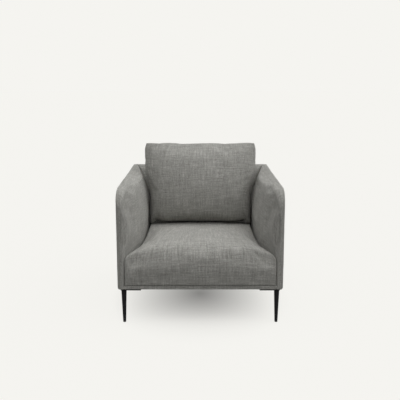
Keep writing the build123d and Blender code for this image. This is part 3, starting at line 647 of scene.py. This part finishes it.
def seat_height(side_share, y):
    """Height of the crowned seat at that share of its half width, behind its front roll."""
    middle, edge = np.array(seat_middle[9:]), np.array(seat_edge[8:])
    crown = np.interp(y, middle[:, 0], middle[:, 1])
    return crown - (crown - np.interp(y, edge[:, 0], edge[:, 1])) * np.abs(side_share) ** crown_power


def seat_section(profile, roll_y):
    """One upright section through the seat, as y and z."""
    line = through(profile, 700)
    turn_at = int(np.argmin(np.abs(line[:, 0] - roll_y)))
    face = through(line[: turn_at + 1], 26)
    upper = through(line[turn_at:], 56)
    rear = np.column_stack([np.full(26, seat_rear_y), np.linspace(seat_under_z, profile[-1][1], 26)])
    upper[-1] = rear[-1]
    upper[0] = face[-1]
    under = [(-0.374, 0.1974), (-0.360, 0.2210), (-0.345, 0.2650), (-0.300, seat_under_z),
             (seat_rear_y, seat_under_z)]
    return fill_between(through([profile[0]] + under, 56), upper, face, rear)


middle, edge = seat_section(seat_middle, -0.3590), seat_section(seat_edge, -0.3740)
across = np.sin(np.linspace(-1.0, 1.0, 105)) / math.sin(1.0)
toward_edge = np.abs(across)[:, None, None, None] ** crown_power
section = middle + toward_edge * (edge - middle)
x = across[:, None, None] * seat_half_width(section[..., 0])
groove = (np.clip(np.abs(across) - (1.0 - groove_share), 0.0, 1.0) / groove_share)[:, None, None] ** 2
section[..., 1] -= groove_depth * groove * np.linspace(0.2, 1.0, 26)
grid = np.concatenate([x[..., None], section], axis=-1)
seat, places, sides = soft_block("seat", grid)
panels = cut_panels(grid)
panels[2, -1][1] = panels[1, 0][1][-1] + panels[2, -1][1]
lay_weave(seat, places, sides, panels)
last = np.array(grid.shape[:3]) - 1
held = (places[:, 0] == 0) | (places[:, 0] == last[0]) | (places[:, 1] == last[1]) | (places[:, 2] == 0)
held |= np.array([v.co.y for v in seat.data.vertices]) > 0.06
settle(seat, held, pressure=0.15, steps=16, reach=0.012, slack=0.004)
ease(seat, seat_unevenness, round_off(seat, np.where(held, 0.0, 1.0)))
pull_creases(seat, [
    ((-0.166, -0.355, 0.395), (-0.170, -0.398, 0.330), 0.0045, 0.0060),
    ((-0.112, -0.345, 0.398), (-0.114, -0.396, 0.338), 0.0045, 0.0046),
    ((-0.092, -0.350, 0.397), (-0.095, -0.394, 0.345), 0.0045, 0.0040),
    ((0.141, -0.355, 0.395), (0.145, -0.397, 0.334), 0.0045, 0.0056),
    ((0.203, -0.340, 0.390), (0.212, -0.394, 0.336), 0.0055, 0.0036),
    ((-0.236, -0.340, 0.385), (-0.246, -0.392, 0.330), 0.0055, 0.0036),
    ((0.030, -0.355, 0.398), (0.029, -0.398, 0.342), 0.0050, 0.0028),
])
finish_cover(seat, "chair", "seat_cover", "seat_foam", fill=0.85)


# Front border. A narrow strip of the cloth is sewn along the foot of the seat's front panel
# and turned under the front rail.
border_half_width = 0.3800
border_height = 0.0182
border_turn = 0.022
border_inset = 0.0002
border_lean = 0.0014
border_unevenness = 0.0003
across = np.linspace(-border_half_width, border_half_width, 61)
b, c = np.meshgrid([0.0, 0.08, 0.5, 1.0], [0.0, 0.09, 0.5, 0.91, 1.0], indexing="ij")
grid = np.empty((len(across), 4, 5, 3))
grid[..., 0] = across[:, None, None]
grid[..., 1] = rim_y + border_inset + border_lean * (1.0 - c) + border_turn * b
grid[..., 2] = shell_foot + border_height * c
border, places, sides = soft_block("front_border_strip", grid)
panels = cut_panels(grid)
panels[1, 0][1] = panels[1, 0][1] - 0.05
lay_weave(border, places, sides, panels)
ease(border, border_unevenness, round_off(border, np.ones(len(places))))
finish_cover(border, "chair", "front_border", fill=0.9)


# Dust cover. A sheet of thin black non-woven cloth closes the underside of the frame. It is stapled to
# the rails along its edges and sags a little in the middle.
dust_cloth = speckled("dust_cloth", 0.9, (700.0, 700.0, 700.0), (0.012, 0.012, 0.013), (0.045, 0.045, 0.047),
                      depth=0.0003)
dust_half_width = 0.393
dust_front, dust_rear = -0.3615, 0.3840
dust_z = 0.1798
dust_sag = 0.005
dust_rows = 61
dust_x = np.linspace(-dust_half_width, dust_half_width, dust_rows)
dust_y = np.linspace(dust_front, dust_rear, dust_rows)
x, y = np.meshgrid(dust_x, dust_y, indexing="ij")
from_middle = (2.0 * y - dust_front - dust_rear) / (dust_rear - dust_front)
z = dust_z - dust_sag * (1.0 - (x / dust_half_width) ** 4) * (1.0 - from_middle**4)
points = np.stack([x, y, z], axis=-1).reshape(-1, 3)
number = np.arange(dust_rows**2).reshape(dust_rows, dust_rows)
corners = [number[:-1, :-1], number[:-1, 1:], number[1:, 1:], number[1:, :-1]]
quads = np.stack(corners, axis=-1).reshape(-1, 4)
mesh = bpy.data.meshes.new("dust_sheet")
mesh.from_pydata(points.tolist(), [], quads.tolist())
mesh.polygons.foreach_set("use_smooth", [True] * len(mesh.polygons))
dust_sheet = bpy.data.objects.new("dust_sheet", mesh)
bpy.context.scene.collection.objects.link(dust_sheet)
thickness = dust_sheet.modifiers.new("thickness", "SOLIDIFY")
thickness.thickness = 0.0006
thickness.offset = -1.0
mesh.materials.append(dust_cloth)
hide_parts("dust_cover")
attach(dust_sheet, "chair")


# Staples of the dust cover. Bent from flat steel wire and driven up through the cloth into the rails,
# one every 45 mm along its four edges.
def plain_mesh(name, points, faces):
    """A new linked object with that mesh, smoothly shaded."""
    mesh = bpy.data.meshes.new(name)
    mesh.from_pydata(points, [], faces)
    mesh.polygons.foreach_set("use_smooth", [True] * len(mesh.polygons))
    piece = bpy.data.objects.new(name, mesh)
    bpy.context.scene.collection.objects.link(piece)
    return piece


def set_out(name, lines, one, material, pitch, size, place=(0.0, 0.0, 0.0), turn=(0.0, 0.0, 0.0)):
    """Sets copies of one small piece along lines, a pitch apart and scaled to size, as one plain mesh."""
    points, edges = [], []
    for line in lines:
        edges += [(len(points) + n, len(points) + n + 1) for n in range(len(line) - 1)]
        points += line
    mesh = bpy.data.meshes.new(name)
    mesh.from_pydata(points, edges, [])
    row = bpy.data.objects.new(name, mesh)
    bpy.context.scene.collection.objects.link(row)

    tree = bpy.data.node_groups.new(name, "GeometryNodeTree")
    wanted = {"Geometry": "NodeSocketGeometry", "Piece": "NodeSocketObject", "Pitch": "NodeSocketFloat",
              "Size": "NodeSocketFloat", "Place": "NodeSocketVector", "Turn": "NodeSocketRotation"}
    keys = {
        label: tree.interface.new_socket(name=label, in_out="INPUT", socket_type=kind).identifier
        for label, kind in wanted.items()
    }
    tree.interface.new_socket(name="Geometry", in_out="OUTPUT", socket_type="NodeSocketGeometry")
    given = tree.nodes.new("NodeGroupInput").outputs
    steps = {
        label: tree.nodes.new(kind)
        for label, kind in (
            ("curve", "GeometryNodeMeshToCurve"), ("spaced", "GeometryNodeResampleCurve"),
            ("tangent", "GeometryNodeInputTangent"), ("aim", "FunctionNodeAlignRotationToVector"),
            ("piece", "GeometryNodeObjectInfo"), ("copies", "GeometryNodeInstanceOnPoints"),
            ("laid", "GeometryNodeTransform"), ("real", "GeometryNodeRealizeInstances"),
            ("finish", "GeometryNodeSetMaterial"), ("out", "NodeGroupOutput"),
        )
    }
    steps["spaced"].mode = "LENGTH"
    steps["aim"].axis = "X"
    steps["aim"].pivot_axis = "Z"
    steps["finish"].inputs["Material"].default_value = material
    for source, step, socket in (
        (given["Geometry"], "curve", "Mesh"), (steps["curve"].outputs[0], "spaced", "Curve"),
        (given["Pitch"], "spaced", "Length"), (steps["tangent"].outputs[0], "aim", "Vector"),
        (given["Piece"], "piece", "Object"), (steps["spaced"].outputs[0], "copies", "Points"),
        (steps["piece"].outputs["Geometry"], "copies", "Instance"),
        (steps["aim"].outputs[0], "copies", "Rotation"), (given["Size"], "copies", "Scale"),
        (steps["copies"].outputs[0], "laid", "Geometry"), (given["Place"], "laid", "Translation"),
        (given["Turn"], "laid", "Rotation"), (steps["laid"].outputs[0], "real", "Geometry"),
        (steps["real"].outputs[0], "finish", "Geometry"), (steps["finish"].outputs[0], "out", "Geometry"),
    ):
        tree.links.new(source, steps[step].inputs[socket])

    repeat = row.modifiers.new("repeat", "NODES")
    repeat.node_group = tree
    for label, value in (("Piece", one), ("Pitch", pitch), ("Size", size), ("Place", place), ("Turn", turn)):
        repeat[keys[label]] = value
    made = bpy.data.meshes.new_from_object(row.evaluated_get(bpy.context.evaluated_depsgraph_get()))
    row.modifiers.remove(repeat)
    row.data = made
    bpy.data.objects.remove(one)
    return row


wire_line = [(-0.50, 0.30), (-0.50, 0.05), (-0.45, 0.0), (0.45, 0.0), (0.50, 0.05), (0.50, 0.30)]
wire_side = [(-0.06, -0.035), (0.06, -0.035), (0.06, 0.035), (-0.06, 0.035)]
points = [(x + (w if n in (0, 1) else -w if n in (4, 5) else 0.0), v, z + (w if n in (2, 3) else 0.0))
          for n, (x, z) in enumerate(wire_line) for v, w in wire_side]
faces = [(4 * n + k, 4 * n + (k + 1) % 4, 4 * n + 4 + (k + 1) % 4, 4 * n + 4 + k)
         for n in range(5) for k in range(4)]
staple = plain_mesh("one_staple", points, faces + [(3, 2, 1, 0), (20, 21, 22, 23)])
edge_x, front_y, rear_y, under_z = 0.388, -0.3545, 0.3770, 0.1788
from_corner = 0.03
staple_rows = [
    [(-edge_x, front_y, under_z), (edge_x, front_y, under_z)],
    [(edge_x, rear_y, under_z), (-edge_x, rear_y, under_z)],
    [(edge_x, front_y + from_corner, under_z), (edge_x, rear_y - from_corner, under_z)],
    [(-edge_x, rear_y - from_corner, under_z), (-edge_x, front_y + from_corner, under_z)],
]
staples = set_out("dust_staples", staple_rows, staple, spring_wire, pitch=0.045, size=0.010)
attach(staples, "chair")


# Back cushion. A loose boxed cushion: a front and a back panel sewn to a gusset, with a soft filling that
# crowns both panels. It stands on the seat, leans on the back pad and widens above the arms.
lean = math.radians(9.0)
cushion_base = np.array([0.0, 0.190, 0.3826])
cushion_up = np.array([0.0, math.sin(lean), math.cos(lean)])
cushion_front = np.array([0.0, -math.cos(lean), math.sin(lean)])
cushion_height = 0.447
narrow_half_width = 0.289
upper_widening = 0.0312
belly_depth = 0.089
belly_share = 0.45
seat_clearance = 0.004
zip_hollow = 0.010
cushion_unevenness = 0.0018


def cushion_half_width(t):
    """Half the width at that share of the height: wider above the arms, drawn in at the top corners."""
    widen = smooth_step((t - 0.3) / 0.45) - 0.30 * np.clip((t - 0.90) / 0.10, 0.0, 1.0) ** 2
    return narrow_half_width + upper_widening * widen


front_swell = [(0.0, 0.028), (0.01, 0.044), (0.025, 0.059), (0.05, 0.0745), (0.09, 0.0895), (0.14, 0.1025),
               (0.20, 0.1135), (0.28, 0.1225), (0.36, 0.1275), (0.44, 0.1285), (0.52, 0.1265),
               (0.60, 0.1215), (0.70, 0.1110), (0.80, 0.0955), (0.88, 0.0772), (0.94, 0.0595),
               (0.975, 0.0447), (1.0, 0.0300)]


def rear_swell(t):
    """How far the back panel stands from the middle: most at the belly, less at the foot and the top."""
    low = 1.0 - 0.56 * np.clip(1.0 - t / belly_share, 0.0, 1.0) ** 2.35
    return belly_depth * (low - 0.54 * np.clip((t - belly_share) / (1.0 - belly_share), 0.0, 1.0) ** 2.35)


s = np.sin(np.linspace(-1.0, 1.0, 69) * 1.3) / math.sin(1.3)
b = np.linspace(0.0, 1.0, 15)
t = 0.5 - 0.5 * np.sin(np.linspace(1.0, -1.0, 49) * 1.3) / math.sin(1.3)
s, b, t = np.meshgrid(s, b, t, indexing="ij")
in_front = b < 0.5
swell = np.where(in_front, np.interp(t, *through(front_swell, 300).T), rear_swell(t))
front_gusset = 0.005 + 0.021 * t
rear_gusset = np.minimum(0.027, 0.62 * rear_swell(t))
gusset = np.where(in_front, front_gusset, rear_gusset)
front_round = (1.0 - np.abs(s) ** (2.2 + 3.0 * (1.0 - t) ** 8)) ** 0.52
rear_round = 1.0 - np.abs(s) ** 2.4
round_across = np.where(in_front, front_round, rear_round)
across_depth = 1.0 - 2.0 * b
depth = across_depth * (gusset + (swell - gusset) * round_across)
x = s * cushion_half_width(t) + np.sign(s) * 0.005 * np.abs(s) ** 10 * (1.0 - across_depth**2)
high = t * cushion_height + 0.004 * t**12 * (1.0 - across_depth**2) - 0.003 * t**6 * (1.0 - s**2)
high += 0.0012 * t**8 * np.sin(9.0 * s + 0.6)
grid = cushion_base + x[..., None] * np.array([1.0, 0.0, 0.0])
grid = grid + high[..., None] * cushion_up + depth[..., None] * cushion_front
foot = grid[:, :, :1]
seat_y = np.clip(foot[..., 1], seat_middle[9][0], seat_rear_y)
side_share = np.clip(foot[..., 0] / seat_half_width(seat_y), -0.88, 0.88)
seat_z = seat_height(side_share, seat_y) + seat_clearance
off_zip = smooth_step((np.abs(depth)[:, :, :1] - 0.018) / 0.012)
off_zip = np.maximum(off_zip, smooth_step((np.abs(x[:, :, :1]) - 0.242) / 0.045))
meet = (seat_z - foot[..., 2]) * off_zip + zip_hollow * (1.0 - off_zip)
grid[..., 2] += meet * (1.0 - t) ** 5
cushion, places, sides = soft_block("back_cushion_cover", grid)
panels = cut_panels(grid)
lay_weave(cushion, places, sides, panels)
last = np.array(grid.shape[:3]) - 1
at_end = [(places[:, n] == 0) | (places[:, n] == last[n]) for n in range(3)]
seams = (at_end[1] & (at_end[0] | at_end[2])) | (places[:, 2] == 0)
settle(cushion, seams, pressure=0.3, steps=16, reach=0.010, slack=0.004)
ease(cushion, cushion_unevenness, round_off(cushion, np.where(seams, 0.0, 1.0)))
pull_creases(cushion, [
    ((0.318, 0.205, 0.681), (0.225, 0.150, 0.641), 0.010, 0.0014),
    ((0.312, 0.200, 0.646), (0.215, 0.140, 0.611), 0.010, 0.0013),
    ((0.305, 0.190, 0.606), (0.235, 0.140, 0.586), 0.009, 0.0010),
    ((-0.318, 0.205, 0.691), (-0.240, 0.155, 0.659), 0.010, 0.0012),
    ((-0.308, 0.195, 0.631), (-0.230, 0.145, 0.605), 0.010, 0.0010),
])
finish_cover(cushion, "back_cushion", "cushion_cover", "cushion_insert", fill=0.7)


# Zip of the cushion cover. A woven tape is sewn along the foot of the gusset, with a moulded coil that a
# dull nickel slider closes.
zip_tape = speckled("zip_tape", 0.85, (1400.0, 500.0, 500.0), (0.12, 0.12, 0.112), (0.25, 0.25, 0.235),
                    depth=0.0003, detail=2.0)
dress("cushion_zip", zip_tape)

dull_nickel = speckled("dull_nickel", 0.34, (500.0, 500.0, 500.0), (0.30, 0.29, 0.28), (0.46, 0.45, 0.44),
                       depth=0.00005, detail=4.0, metallic=1.0)
dress("zip_slider", dull_nickel)

coil = speckled("zip_coil", 0.42, (900.0, 900.0, 900.0), (0.10, 0.10, 0.095), (0.17, 0.17, 0.16),
                depth=0.00008, detail=2.0)
outline = [(-0.38, -0.9), (0.38, -0.9), (0.46, -0.5), (0.30, 0.2), (0.36, 2.62), (-0.36, 2.62),
           (-0.30, 0.2), (-0.46, -0.5)]
points = [(x, y, z) for z in (-1.30, 1.30) for x, y in outline]
faces = [(n, (n + 1) % 8, 8 + (n + 1) % 8, 8 + n) for n in range(8)]
faces += [tuple(range(7, -1, -1)), tuple(range(8, 16))]
tooth = plain_mesh("one_zip_tooth", points, faces)
tooth.data.polygons.foreach_set("use_smooth", [False] * len(faces))
zip_lean = math.atan(0.0509)
zip_half_length = 0.2360
tooth_pitch = 0.0016
above_foot = 0.0070
tooth_rows = [
    [(-zip_half_length, 0.0, 0.0), (zip_half_length, 0.0, 0.0)],
    [(zip_half_length + tooth_pitch / 2, 0.0, 0.0), (tooth_pitch / 2 - zip_half_length, 0.0, 0.0)],
]
zip_teeth = set_out(
    "zip_teeth", tooth_rows, tooth, coil, pitch=tooth_pitch, size=0.001,
    place=(0.0, cushion_base[1] + above_foot * math.sin(zip_lean),
           cushion_base[2] + above_foot * math.cos(zip_lean)),
    turn=(-zip_lean, 0.0, 0.0),
)
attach(zip_teeth, "back_cushion")


# Legs. Tapered steel tube is welded to a corner plate and powder coated matte black, with a black nylon
# glide pushed into its foot. Three pan-head screws go through each plate into the corner block.
powder_coat = speckled("powder_coat", 0.62, (650.0, 650.0, 650.0), (0.012, 0.012, 0.013),
                       (0.022, 0.022, 0.023), depth=0.0001, detail=2.0, shine=0.1)
for piece in ("leg_front_left", "leg_front_right", "leg_rear_left", "leg_rear_right"):
    dress(piece, powder_coat)

nylon = speckled("glide_nylon", 0.45, (900.0, 900.0, 900.0), (0.014, 0.014, 0.014), (0.03, 0.03, 0.03),
                 depth=0.0001, detail=2.0)
dress("leg_glides", nylon)

rings = [(1.0, 0.02), (1.0, -0.12), (0.86, -0.38), (0.52, -0.52), (0.30, -0.55), (0.12, -0.56)]
points, faces = [], []
for ring, (radius, depth) in enumerate(rings):
    for n in range(16):
        recess = 0.30 if ring >= 4 or (ring == 3 and n % 4 == 0) else 0.0
        angle = n * math.pi / 8
        points.append((radius * math.cos(angle), radius * math.sin(angle), depth + recess))
for ring in range(len(rings) - 1):
    faces += [(16 * ring + n, 16 * ring + 16 + n, 16 * ring + 16 + (n + 1) % 16, 16 * ring + (n + 1) % 16)
              for n in range(16)]
faces += [tuple(range(80, 96)), tuple(range(15, -1, -1))]
screw_head = plain_mesh("one_screw_head", points, [face[::-1] for face in faces])
plate_side, corner_reach = 0.101, 0.015
leg_x, front_leg_y, rear_leg_y = 0.380, -0.366, 0.378
plate_under_z = 0.1711
rows = []
for sx in (-1, 1):
    for sy, leg_y in ((-1, front_leg_y), (1, rear_leg_y)):
        for share_x, share_y in ((0.67, 0.30), (0.30, 0.67), (0.475, 0.495)):
            x = sx * (leg_x - (plate_side * share_x - corner_reach))
            y = leg_y - sy * (plate_side * share_y - corner_reach)
            rows.append([(x, y, plate_under_z), (x + 0.001, y, plate_under_z)])
leg_screws = set_out("leg_screws", rows, screw_head, powder_coat, pitch=1.0, size=0.0048)
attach(leg_screws, "chair")


# Studio. A pale seamless floor under soft light from overhead, both sides and ahead, brighter on the right;
# painted light on the floor thins the chair's shadow outside a soft pool under it.
# The camera stands in front of the chair and looks slightly down on it.
backdrop = (0.913, 0.905, 0.871)
floor_grey = (0.22, 0.218, 0.211)
floor_half_size = 40
side_light, front_light = 0.60, 0.5
light_focus, light_strength = 2.2, 1.80
right_bias = 0.6
# Size and depth of the soft pool under the chair where the floor's painted light is weakest and the chair's
# real shadow shows most.
shadow_scale = (1.75, 1.4, 1.0)
shadow_depth = 0.84
camera_tilt = math.radians(9.5)


def plainly_seen(tree):
    """1 where a ray shows the studio itself: straight to the camera, in a shiny surface or through glass."""
    seen = tree.nodes.new("ShaderNodeLightPath").outputs
    return blend_of(tree, "MAXIMUM", seen["Is Camera Ray"],
                    blend_of(tree, "MAXIMUM", seen["Is Glossy Ray"], seen["Is Transmission Ray"]))


floor_paint, tree, shader = fresh_material("floor_paint", 0.9)
shader.inputs["Specular IOR Level"].default_value = 0.0
paint = tree.nodes.new("ShaderNodeMix")
paint.data_type = "RGBA"
tree.links.new(plainly_seen(tree), paint.inputs["Factor"])
paint.inputs[6].default_value = (*floor_grey, 1.0)
paint.inputs[7].default_value = (*backdrop, 1.0)
tree.links.new(paint.outputs[2], shader.inputs["Base Color"])
# Seen from the camera, the floor partly glows with the backdrop colour. This painted light is weakest in a
# soft pool under the chair and strongest further out, so it thins the chair's real shadow and keeps it to
# that pool.
painted_floor_light = tree.nodes.new("ShaderNodeEmission")
painted_floor_light.inputs["Color"].default_value = (*backdrop, 1.0)
even = tree.nodes.new("ShaderNodeMixShader")
shadow_pool_mask = pattern(tree, "ShaderNodeTexGradient", object_place(tree), shadow_scale)
shadow_pool_mask.gradient_type = "SPHERICAL"
share = blend_of(tree, "SUBTRACT", 1.05, blend_of(tree, "MULTIPLY", shadow_pool_mask.outputs["Fac"], shadow_depth))
share = blend_of(tree, "MINIMUM", share, 0.94)
tree.links.new(blend_of(tree, "MULTIPLY", plainly_seen(tree), share), even.inputs[0])
tree.links.new(shader.outputs[0], even.inputs[1])
tree.links.new(painted_floor_light.outputs[0], even.inputs[2])
tree.links.new(even.outputs[0], tree.nodes["Material Output"].inputs["Surface"])
mesh = bpy.data.meshes.new("studio_floor")
floor_corners = [(floor_half_size * sx, floor_half_size * sy, 0)
                 for sx, sy in ((-1, -1), (1, -1), (1, 1), (-1, 1))]
mesh.from_pydata(floor_corners, [], [(0, 1, 2, 3)])
mesh.materials.append(floor_paint)
floor = bpy.data.objects.new("studio_floor", mesh)
bpy.context.scene.collection.objects.link(floor)

sky = bpy.data.worlds.new("studio_sky")
bpy.context.scene.world = sky
sky.use_nodes = True
tree = sky.node_tree
glow = tree.nodes["Background"]
toward = tree.nodes.new("ShaderNodeSeparateXYZ")
tree.links.new(tree.nodes.new("ShaderNodeTexCoord").outputs["Generated"], toward.inputs[0])
right, overhead = toward.outputs["X"], blend_of(tree, "MAXIMUM", toward.outputs["Z"], 0.0)
ahead = blend_of(tree, "MAXIMUM", blend_of(tree, "MULTIPLY", toward.outputs["Y"], -1.0), 0.0)
band = blend_of(tree, "MULTIPLY", blend_of(tree, "MULTIPLY", right, right), side_light)
band = blend_of(tree, "ADD", blend_of(tree, "MULTIPLY", overhead, overhead), band)
high_ahead = blend_of(tree, "MULTIPLY", ahead, overhead)
band = blend_of(tree, "ADD", band, blend_of(tree, "MULTIPLY", high_ahead, front_light))
band = blend_of(tree, "MULTIPLY", blend_of(tree, "POWER", band, light_focus), light_strength)
tilt = blend_of(tree, "ADD", blend_of(tree, "MULTIPLY", right, right_bias), 1.0)
tree.links.new(blend_of(tree, "MULTIPLY", band, tilt), glow.inputs["Strength"])
glow.inputs["Color"].default_value = (1.0, 1.0, 1.0, 1.0)
plain = tree.nodes.new("ShaderNodeBackground")
plain.inputs["Color"].default_value = (*backdrop, 1.0)
choose = tree.nodes.new("ShaderNodeMixShader")
tree.links.new(plainly_seen(tree), choose.inputs[0])
tree.links.new(glow.outputs[0], choose.inputs[1])
tree.links.new(plain.outputs[0], choose.inputs[2])
tree.links.new(choose.outputs[0], tree.nodes["World Output"].inputs["Surface"])

eye = bpy.data.cameras.new("studio_camera")
eye.lens = 50.0
eye.sensor_width = 36.0
eye.shift_y = -0.08
stand = bpy.data.objects.new("studio_camera", eye)
stand.location = (-0.0016, -2.994, 1.223)
stand.rotation_euler = (math.radians(90.0) - camera_tilt, 0.0, 0.0)
bpy.context.scene.collection.objects.link(stand)
bpy.context.scene.camera = stand
bpy.context.scene.view_settings.view_transform = "Standard"
